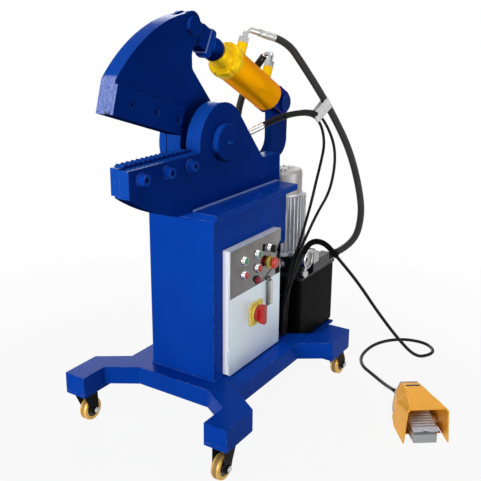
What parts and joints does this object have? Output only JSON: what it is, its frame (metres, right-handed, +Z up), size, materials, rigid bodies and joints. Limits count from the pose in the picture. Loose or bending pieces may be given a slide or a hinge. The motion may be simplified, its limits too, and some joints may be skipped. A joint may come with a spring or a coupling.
{
  "type": "alligator shear",
  "caption": "Wheeled hydraulic alligator shear: hinged upper jaw worked by a cylinder, fixed toothed lower jaw, pedestal with control box, power pack and foot switch.",
  "frame": {"origin": "on the floor at the middle of the caster rectangle, under the column", "axes": "+X from mouth to tail, -Y the control side, +Z up"},
  "size_m": [1.2602, 1.0407, 1.261],
  "materials": {
    "blue_paint": "glossy machine enamel",
    "blade_blue": "blades coated with the machine's enamel",
    "cylinder_orange": "glossy enamel",
    "gland_yellow": "glossy enamel",
    "chrome": "polished",
    "bright_steel": "turned or zinc plated",
    "dark_steel": "black finish",
    "tank_black": "moulded",
    "motor_silver": "silver enamel",
    "aluminium": "milled",
    "door_grey": "grey enamel, dark upper panel",
    "switch_black": "moulded",
    "button_green": "moulded",
    "button_red": "moulded",
    "lamp_red": "translucent lens",
    "caster_gold": "cast tread and hub",
    "hose_black": "matt cover",
    "hood_orange": "moulded",
    "foot_grey": "moulded",
    "bronze": "machined",
    "gauge_white": "dial in a dark case"
  },
  "bodies": {
    "frame": {"base_frame": "blue_paint", "caster_plates": "dark_steel", "column": "blue_paint", "top_plate": "blue_paint", "lower_jaw": "blue_paint", "far_cheek": "blue_paint", "tail_plate": "blue_paint", "lower_blade": "blade_blue", "lower_blade_bolts": "bright_steel", "pivot_pin": "blue_paint", "tail_pin": "blue_paint", "cabinet_shell": "door_grey", "control_gear": "door_grey", "tank": "tank_black", "tank_lid": "aluminium", "valve_block": "aluminium", "solenoid_valve": "dark_steel", "pressure_gauge": "gauge_white", "motor_housing": "motor_silver", "fan_cowl": "motor_silver", "pump": "bright_steel", "limit_switch": "bright_steel", "foot_base": "foot_grey", "foot_hood": "hood_orange", "hose_a": "hose_black", "hose_b": "hose_black", "sensor_cables": "hose_black", "foot_cable": "hose_black"},
    "rotor": {"motor_rotor": "bright_steel"},
    "jaw": {"upper_jaw": "blue_paint", "upper_blade": "blade_blue", "upper_blade_bolts": "bright_steel", "jaw_bush": "bronze"},
    "barrel": {"cylinder_barrel": "cylinder_orange", "cylinder_gland": "gland_yellow", "port_fittings": "bright_steel"},
    "rod": {"piston_rod": "chrome", "rod_eye": "blue_paint", "rod_pin": "blue_paint"},
    "door": {"cabinet_door": "door_grey", "button_bezels": "bright_steel", "pilot_lamp": "lamp_red"},
    "swivel_fl": {"caster_fork_fl": "dark_steel"},
    "wheel_fl": {"caster_wheel_fl": "caster_gold"},
    "swivel_fr": {"caster_fork_fr": "dark_steel"},
    "wheel_fr": {"caster_wheel_fr": "caster_gold"},
    "swivel_rl": {"caster_fork_rl": "dark_steel"},
    "wheel_rl": {"caster_wheel_rl": "caster_gold"},
    "swivel_rr": {"caster_fork_rr": "dark_steel"},
    "wheel_rr": {"caster_wheel_rr": "caster_gold"},
    "green_left": {"green_button_left": "button_green"},
    "green_right": {"green_button_right": "button_green"},
    "red_left": {"red_button_left": "button_red"},
    "red_right": {"red_button_right": "button_red"},
    "stop": {"estop_head": "button_red"},
    "selector": {"selector_knob": "switch_black"},
    "isolator": {"isolator_handle": "button_red"},
    "lock": {"lock_handle": "bright_steel"},
    "pedal": {"treadle": "foot_grey"},
    "pointer": {"gauge_pointer": "dark_steel"}
  },
  "joints": [
    {"name": "jaw_hinge", "type": "hinge", "parent": "frame", "child": "jaw", "pos_m": [-0.027, 0.05, 0.882], "axis": [0, -1, 0], "range_deg": [0, 22]},
    {"name": "barrel_swing", "type": "hinge", "parent": "frame", "child": "barrel", "pos_m": [0.445, 0.052, 0.95], "axis": [0, -1, 0], "range_deg": [0, 8.5], "deforming": ["hose_a", "hose_b"]},
    {"name": "rod_slide", "type": "slide", "parent": "barrel", "child": "rod", "axis": [-0.8893, 0, 0.4574], "range_m": [0, 0.1]},
    {"name": "rotor_spin", "type": "hinge", "parent": "frame", "child": "rotor", "pos_m": [0.402, -0.012, 0.5], "axis": [0, 0, 1], "continuous": true},
    {"name": "swivel_fl", "type": "hinge", "parent": "frame", "child": "swivel_fl", "pos_m": [-0.348, 0.263, 0.097], "axis": [0, 0, 1], "continuous": true},
    {"name": "roll_fl", "type": "hinge", "parent": "swivel_fl", "child": "wheel_fl", "pos_m": [-0.333, 0.263, 0.0375], "axis": [0, 1, 0], "continuous": true},
    {"name": "swivel_fr", "type": "hinge", "parent": "frame", "child": "swivel_fr", "pos_m": [-0.348, -0.263, 0.097], "axis": [0, 0, 1], "continuous": true},
    {"name": "roll_fr", "type": "hinge", "parent": "swivel_fr", "child": "wheel_fr", "pos_m": [-0.362, -0.263, 0.0375], "axis": [0, 1, 0], "continuous": true},
    {"name": "swivel_rl", "type": "hinge", "parent": "frame", "child": "swivel_rl", "pos_m": [0.358, 0.263, 0.097], "axis": [0, 0, 1], "continuous": true},
    {"name": "roll_rl", "type": "hinge", "parent": "swivel_rl", "child": "wheel_rl", "pos_m": [0.38, 0.263, 0.0375], "axis": [0, 1, 0], "continuous": true},
    {"name": "swivel_rr", "type": "hinge", "parent": "frame", "child": "swivel_rr", "pos_m": [0.358, -0.263, 0.097], "axis": [0, 0, 1], "continuous": true},
    {"name": "roll_rr", "type": "hinge", "parent": "swivel_rr", "child": "wheel_rr", "pos_m": [0.394, -0.263, 0.0375], "axis": [0, 1, 0], "continuous": true},
    {"name": "door_hinge", "type": "hinge", "parent": "frame", "child": "door", "pos_m": [-0.1425, -0.1415, 0.384], "axis": [0, 0, -1], "range_deg": [0, 110]},
    {"name": "green_left_press", "type": "slide", "parent": "door", "child": "green_left", "axis": [0, 1, 0], "range_m": [0, 0.003], "stiffness_N_per_m": 400},
    {"name": "green_right_press", "type": "slide", "parent": "door", "child": "green_right", "axis": [0, 1, 0], "range_m": [0, 0.003], "stiffness_N_per_m": 400},
    {"name": "red_left_press", "type": "slide", "parent": "door", "child": "red_left", "axis": [0, 1, 0], "range_m": [0, 0.004], "stiffness_N_per_m": 400},
    {"name": "red_right_press", "type": "slide", "parent": "door", "child": "red_right", "axis": [0, 1, 0], "range_m": [0, 0.004], "stiffness_N_per_m": 400},
    {"name": "stop_press", "type": "slide", "parent": "door", "child": "stop", "axis": [0, 1, 0], "range_m": [0, 0.006], "stiffness_N_per_m": 600},
    {"name": "selector_turn", "type": "hinge", "parent": "door", "child": "selector", "pos_m": [0.09, -0.146, 0.536], "axis": [0, 1, 0], "range_deg": [-45, 45]},
    {"name": "isolator_turn", "type": "hinge", "parent": "door", "child": "isolator", "pos_m": [0.008, -0.146, 0.342], "axis": [0, 1, 0], "range_deg": [0, 90]},
    {"name": "lock_turn", "type": "hinge", "parent": "door", "child": "lock", "pos_m": [0.086, -0.146, 0.39], "axis": [0, 1, 0], "range_deg": [0, 90]},
    {"name": "treadle_press", "type": "hinge", "parent": "frame", "child": "pedal", "pos_m": [0.21624, -0.61199, 0.048], "axis": [0.6018, -0.7986, 0], "range_deg": [0, 3.5], "stiffness_Nm_per_rad": 30},
    {"name": "pointer_turn", "type": "hinge", "parent": "frame", "child": "pointer", "pos_m": [0.325, -0.16, 0.432], "axis": [0, 1, 0], "range_deg": [0, 270]}
  ],
  "couplings": [
    {"joint": "barrel_swing", "follows": "jaw_hinge", "ratio": 0.36},
    {"joint": "rod_slide", "follows": "jaw_hinge", "m_per_rad": 0.254}
  ]
}
